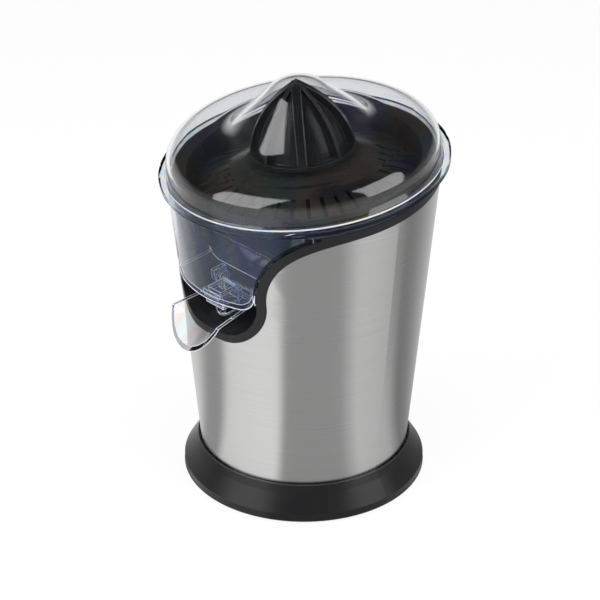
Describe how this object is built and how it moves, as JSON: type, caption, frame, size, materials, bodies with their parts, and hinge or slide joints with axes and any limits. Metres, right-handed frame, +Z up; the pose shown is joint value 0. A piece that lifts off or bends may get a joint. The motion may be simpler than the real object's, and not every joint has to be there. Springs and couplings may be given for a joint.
{
  "type": "citrus press juicer",
  "caption": "Upright electric citrus press: tapered brushed-steel body on a black base, leaning clear bowl with tipping spout, black reaming cone and strainer under a clear peaked lid.",
  "frame": {"origin": "middle of the base in the plane of its rubber foot", "axes": "+Z up, the spout points to -Y, +X is to the right as seen from the spout's far side"},
  "size_m": [0.168, 0.1749, 0.2521],
  "materials": {
    "black_gloss": "glossy black moulding",
    "black_satin": "satin black moulding",
    "dark_trim": "matte dark grey moulding",
    "clear_plastic": "clear polished moulding",
    "brushed_steel": "brushed upright",
    "plain_steel": "bright plated",
    "gear_nylon": "natural nylon",
    "bearing_bronze": "sintered bronze",
    "copper_coils": "enamelled copper",
    "motor_casting": "die cast",
    "soft_rubber": "matte rubber",
    "silicone": "translucent silicone"
  },
  "bodies": {
    "housing": {"base_ring": "black_satin", "bottom_plate": "black_satin", "rubber_foot": "soft_rubber", "plate_screws": "plain_steel", "cord_gland": "soft_rubber", "terminal_block": "black_satin", "tie_rods": "plain_steel", "rod_nuts": "plain_steel", "steel_shell": "brushed_steel", "upper_housing": "dark_trim", "shaft_seal": "soft_rubber", "switch_body": "black_satin", "gearbox_cover": "gear_nylon", "gearbox_tray": "gear_nylon", "gearbox_screws": "plain_steel", "upper_gear_bush": "bearing_bronze", "lower_gear_bush": "bearing_bronze", "idler_pin": "plain_steel", "motor_stator": "plain_steel", "motor_coils": "copper_coils", "upper_bracket": "motor_casting", "upper_bracket_bush": "bearing_bronze", "lower_bracket": "motor_casting", "lower_bracket_bush": "bearing_bronze", "motor_bolts": "plain_steel", "return_spring": "plain_steel"},
    "bowl": {"bowl": "clear_plastic", "strainer": "black_gloss", "spout_pin": "plain_steel"},
    "lid": {"lid": "clear_plastic"},
    "spout": {"spout": "clear_plastic", "spout_stopper": "silicone"},
    "collar": {"thrust_collar": "gear_nylon"},
    "spindle": {"spindle": "plain_steel", "retaining_clip": "plain_steel"},
    "reamer": {"reamer": "black_gloss"},
    "plunger": {"switch_plunger": "black_satin"},
    "output": {"output_gear": "gear_nylon"},
    "idler": {"idler_gear": "gear_nylon"},
    "rotor": {"motor_rotor": "plain_steel", "motor_pinion": "gear_nylon"}
  },
  "joints": [
    {"name": "bowl_lift", "type": "slide", "parent": "housing", "child": "bowl", "axis": [0, -0.1305, 0.9914], "range_m": [0, 0.09]},
    {"name": "lid_lift", "type": "slide", "parent": "bowl", "child": "lid", "axis": [0, -0.1305, 0.9914], "range_m": [0, 0.08]},
    {"name": "spout_tip", "type": "hinge", "parent": "bowl", "child": "spout", "pos_m": [0, -0.04901, 0.13605], "axis": [-1, 0, 0], "range_deg": [0, 15]},
    {"name": "press", "type": "slide", "parent": "housing", "child": "collar", "axis": [0, -0.1305, 0.9914], "range_m": [-0.0025, 0], "stiffness_N_per_m": 4000, "springref_m": 0.0025, "deforming": ["return_spring"]},
    {"name": "spindle_spin", "type": "hinge", "parent": "collar", "child": "spindle", "pos_m": [0, 0, 0.2005], "axis": [0, -0.1305, 0.9914], "continuous": true},
    {"name": "reamer_lift", "type": "slide", "parent": "spindle", "child": "reamer", "axis": [0, -0.1305, 0.9914], "range_m": [0, 0.09]},
    {"name": "switch_press", "type": "slide", "parent": "housing", "child": "plunger", "axis": [0, -0.1305, 0.9914], "range_m": [-0.0025, 0]},
    {"name": "rotor_spin", "type": "hinge", "parent": "housing", "child": "rotor", "pos_m": [0.01919, 0.00888, 0.09072], "axis": [0, -0.1305, 0.9914], "continuous": true},
    {"name": "idler_spin", "type": "hinge", "parent": "housing", "child": "idler", "pos_m": [0.03118, 0.02763, 0.12849], "axis": [0, -0.1305, 0.9914], "continuous": true},
    {"name": "output_spin", "type": "hinge", "parent": "housing", "child": "output", "pos_m": [0, 0.00914, 0.1311], "axis": [0, -0.1305, 0.9914], "continuous": true}
  ],
  "couplings": [
    {"joint": "idler_spin", "follows": "rotor_spin", "ratio": -0.22222},
    {"joint": "output_spin", "follows": "rotor_spin", "ratio": 0.044444},
    {"joint": "spindle_spin", "follows": "rotor_spin", "ratio": 0.044444},
    {"joint": "reamer_lift", "follows": "bowl_lift", "ratio": 1},
    {"joint": "switch_press", "follows": "press", "ratio": 1}
  ]
}
